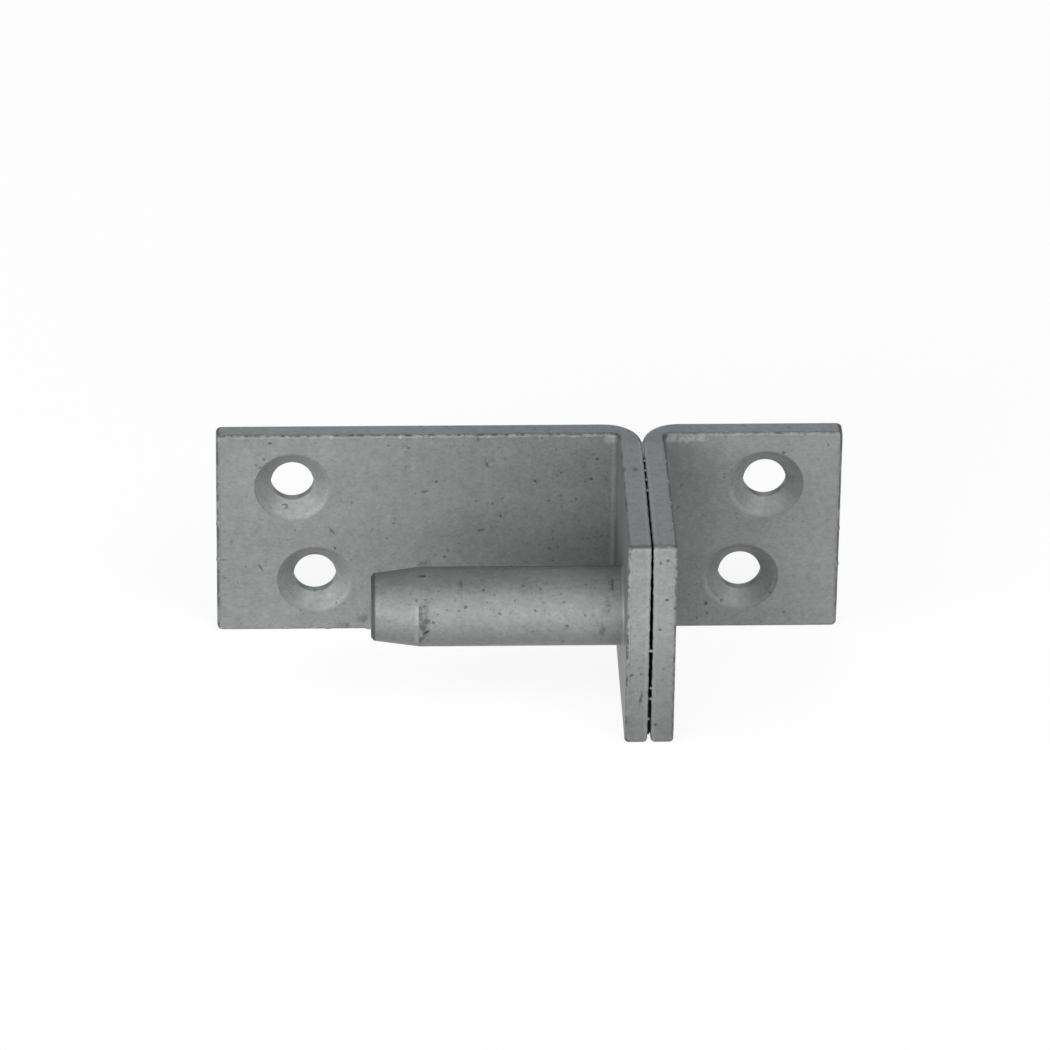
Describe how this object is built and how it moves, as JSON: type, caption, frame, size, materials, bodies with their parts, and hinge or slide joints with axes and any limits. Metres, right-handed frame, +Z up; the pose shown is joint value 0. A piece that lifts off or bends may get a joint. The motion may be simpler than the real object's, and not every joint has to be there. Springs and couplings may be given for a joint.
{
  "type": "plate pintle",
  "caption": "Plate pintle of bent flat bar: a long and a short leaf with countersunk screw holes meet in a doubled tab that carries a riveted hinge pin with a tapered lead-in.",
  "frame": {"origin": "middle of the screw pattern, on the plates' wall face", "axes": "+X along the plates, away from the pin's free end; +Y into the wall; +Z up as the part stands on its long edges. On a gate post the part is turned about Y so that -X, the pin's free end, points up"},
  "size_m": [0.111, 0.0435, 0.04],
  "materials": {
    "leaf_zinc": "dull hot-dip galvanised flat bar",
    "pin_zinc": "dull hot-dip galvanised turned bar"
  },
  "bodies": {
    "root": {"long_leaf": "leaf_zinc", "short_leaf": "leaf_zinc", "pintle_pin": "pin_zinc"}
  },
  "joints": []
}
